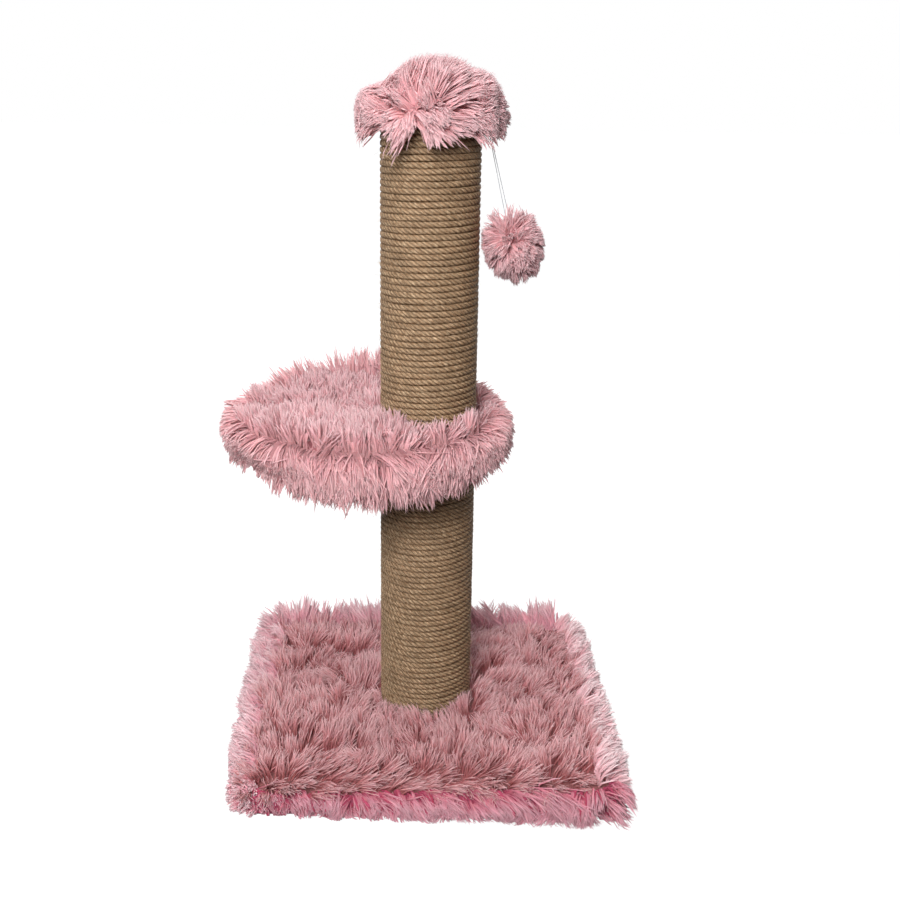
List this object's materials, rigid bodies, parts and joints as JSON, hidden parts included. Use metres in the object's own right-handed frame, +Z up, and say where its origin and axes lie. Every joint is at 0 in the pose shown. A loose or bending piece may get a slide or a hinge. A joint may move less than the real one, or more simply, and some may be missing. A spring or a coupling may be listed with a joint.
{
  "type": "cat scratcher",
  "caption": "Free-standing cat scratcher: fur-covered square base, rope-wound post, round fur shelf part way up, fur cap and a fur ball hanging on a line.",
  "frame": {"origin": "on the floor, at the centre of the base's underside, under the axis of the posts", "axes": "+Z up along the posts, +X to the right and +Y to the back as the picture shows it"},
  "size_m": [0.4021, 0.39, 0.662],
  "materials": {
    "board": "raw chipboard",
    "plug": "raw wood",
    "cardboard": "raw cardboard",
    "steel": "zinc plated",
    "rope": "twisted jute",
    "pink_fur": "long pile",
    "dusky_fur": "long pile",
    "lining": "felted lining",
    "stuffing": "wadding",
    "line": "clear monofilament"
  },
  "bodies": {
    "scratcher": {"base_board": "board", "base_bolt": "steel", "base_lining": "lining", "base_side_cover": "pink_fur", "base_staples": "steel", "base_top_cover": "dusky_fur", "base_washer": "steel", "cap_bolt": "steel", "cap_cover": "pink_fur", "cap_disc": "board", "cap_staples": "steel", "joining_stud": "steel", "lower_bottom_plug": "plug", "lower_bottom_tee_nut": "steel", "lower_plug_nails": "steel", "lower_rope_1": "rope", "lower_rope_2": "rope", "lower_top_plug": "plug", "lower_top_tee_nut": "steel", "lower_tube": "cardboard", "shelf_board": "board", "shelf_lining": "lining", "shelf_side_cover": "pink_fur", "shelf_staples": "steel", "shelf_top_cover": "pink_fur", "toy_staple": "steel", "upper_bottom_plug": "plug", "upper_bottom_tee_nut": "steel", "upper_plug_nails": "steel", "upper_rope_1": "rope", "upper_rope_2": "rope", "upper_top_plug": "plug", "upper_top_tee_nut": "steel", "upper_tube": "cardboard"},
    "toy_loop": {"toy_loop": "line"},
    "toy_line": {"toy_knot": "line", "toy_line": "line"},
    "ball": {"ball_core": "stuffing", "ball_fur": "pink_fur", "ball_tie": "line"}
  },
  "joints": [
    {"name": "toy_swing_side", "type": "hinge", "parent": "scratcher", "child": "toy_loop", "pos_m": [0.053, 0, 0.6085], "axis": [1, 0, 0], "range_deg": [-50, 50]},
    {"name": "toy_swing_out", "type": "hinge", "parent": "toy_loop", "child": "toy_line", "pos_m": [0.053, 0, 0.6085], "axis": [0, -1, 0], "range_deg": [0, 50]},
    {"name": "ball_twist", "type": "hinge", "parent": "toy_line", "child": "ball", "pos_m": [0.053, 0, 0.6085], "axis": [0.2356, 0, -0.9718], "range_deg": [-180, 180]}
  ]
}
